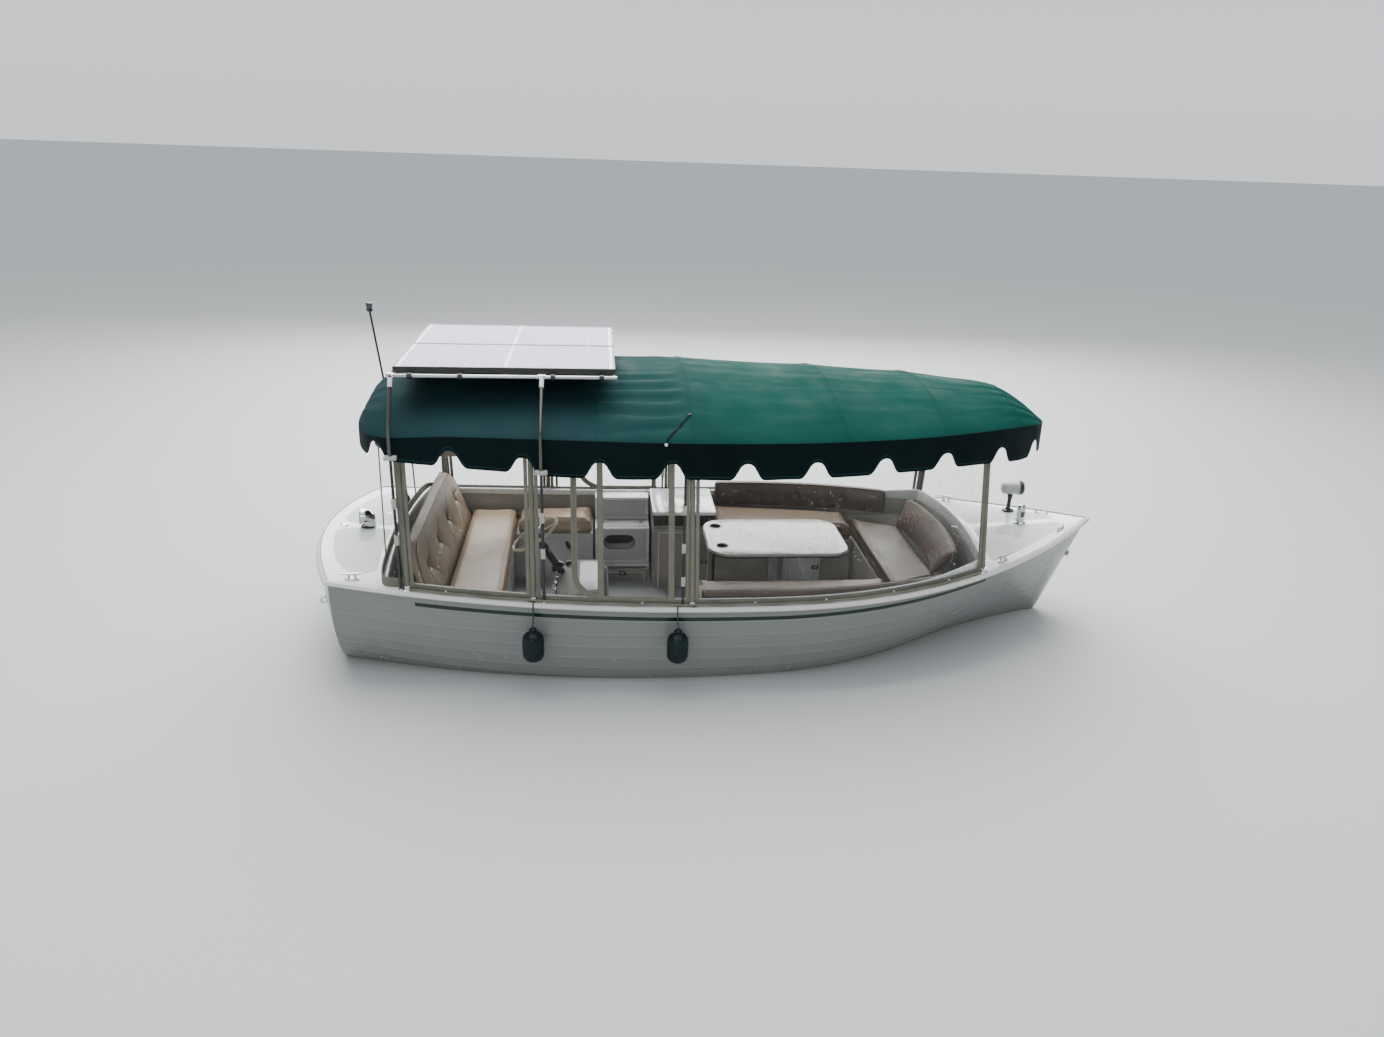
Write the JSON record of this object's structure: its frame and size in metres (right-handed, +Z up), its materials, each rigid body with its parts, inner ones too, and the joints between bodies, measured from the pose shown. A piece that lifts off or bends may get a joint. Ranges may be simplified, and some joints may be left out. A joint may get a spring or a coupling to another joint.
{
  "type": "electric boat",
  "caption": "Open electric launch with a fringed canopy, clear side curtains, solar roof, wrap-around seats, table, helm, propeller and rudder.",
  "frame": {"origin": "on the waterline at the centreline, halfway along the hull", "axes": "+X to the bow, +Y to port, +Z up"},
  "size_m": [5.4689, 2.2681, 2.728],
  "materials": {
    "black": "satin black",
    "bottom": "dark bottom paint",
    "bronze": "cast bronze",
    "cabinet": "brown panels with a pale top",
    "canopy_cloth": "green acrylic canvas",
    "chrome": "polished",
    "cushion_brown": "brown vinyl upholstery",
    "cushion_tan": "tan vinyl upholstery",
    "deck": "gloss moulded deck",
    "fender": "gloss green inflated vinyl",
    "frame": "tube frame",
    "gelcoat": "gloss moulded hull",
    "khaki_cloth": "khaki sleeve over tube",
    "liner": "textured grey moulding",
    "module": "glazed cells in a black frame",
    "rope": "dark braided line",
    "sole": "brown non-skid",
    "steering": "beige wrapped rim",
    "table": "pale solid surface",
    "vinyl": "clear vinyl with bound edges"
  },
  "bodies": {
    "boat": {"hull_shell": "gelcoat", "deck": "deck", "rub_rail": "gelcoat", "keel_skeg": "bottom", "cockpit_sole": "sole", "aft_seat_base": "liner", "forward_seat_base": "liner", "step_module": "liner", "counter_cabinet": "cabinet", "helm_console": "liner", "motor_block": "black", "battery_block": "black", "aft_seat_cushion": "cushion_tan", "port_aft_cushion": "cushion_tan", "port_seat_cushion": "cushion_tan", "stbd_seat_cushion": "cushion_tan", "bow_seat_cushion": "cushion_tan", "aft_backrest": "cushion_tan", "port_backrest": "cushion_brown", "stbd_backrest": "cushion_brown", "bow_backrest": "cushion_brown", "table_top": "table", "table_pedestal": "frame", "canopy": "canopy_cloth", "canopy_hoop_aft": "khaki_cloth", "canopy_hoop_mid_aft": "khaki_cloth", "canopy_hoop_mid_fwd": "khaki_cloth", "canopy_hoop_fwd": "khaki_cloth", "window_stbd_aft": "vinyl", "window_port_aft": "vinyl", "window_stbd_mid": "vinyl", "window_port_mid": "vinyl", "window_stbd_fwd": "vinyl", "window_port_fwd": "vinyl", "windscreen": "vinyl", "aft_curtain": "vinyl", "solar_frame": "frame", "solar_module_stbd": "module", "solar_module_port": "module", "stern_light_pole": "black", "cowl_vent": "chrome", "bow_light": "chrome", "searchlight_base": "black", "cleat_stbd_aft": "chrome", "cleat_port_aft": "chrome", "cleat_stbd_fwd": "chrome", "cleat_port_fwd": "chrome", "fender_aft": "fender", "fender_line_aft": "rope", "fender_fwd": "fender", "fender_line_fwd": "rope"},
    "propeller": {"propeller": "bronze"},
    "rudder": {"rudder": "bronze"},
    "steering_wheel": {"steering_wheel": "steering"},
    "step_door": {"step_door": "liner"},
    "counter_door": {"counter_door": "cabinet"},
    "locker_door": {"locker_door": "liner"},
    "searchlight_head": {"searchlight_head": "chrome"}
  },
  "joints": [
    {"name": "propeller_spin", "type": "hinge", "parent": "boat", "child": "propeller", "pos_m": [-1.935, 0, -0.395], "axis": [0.9903, 0, 0.1392], "continuous": true},
    {"name": "rudder_turn", "type": "hinge", "parent": "boat", "child": "rudder", "pos_m": [-2.2, 0, -0.4], "axis": [0, 0, 1], "range_deg": [-35, 35]},
    {"name": "steering_turn", "type": "hinge", "parent": "boat", "child": "steering_wheel", "pos_m": [-1.29, -0.275, 0.735], "axis": [-0.5299, 0, 0.848], "range_deg": [-420, 420]},
    {"name": "step_door_hinge", "type": "hinge", "parent": "boat", "child": "step_door", "pos_m": [-0.885, 0.555, 0], "axis": [0, 0, -1], "range_deg": [0, 95]},
    {"name": "counter_door_hinge", "type": "hinge", "parent": "boat", "child": "counter_door", "pos_m": [-0.443, 0.42, 0.2], "axis": [0, 0, -1], "range_deg": [0, 95]},
    {"name": "locker_door_hinge", "type": "hinge", "parent": "boat", "child": "locker_door", "pos_m": [0.56, 0.445, 0.1], "axis": [0, 0, -1], "range_deg": [0, 95]},
    {"name": "searchlight_pan", "type": "hinge", "parent": "boat", "child": "searchlight_head", "pos_m": [2.228, 0.255, 0.9], "axis": [0, 0, 1], "range_deg": [-90, 90]}
  ],
  "couplings": [
    {"joint": "steering_turn", "follows": "rudder_turn", "ratio": -12}
  ]
}
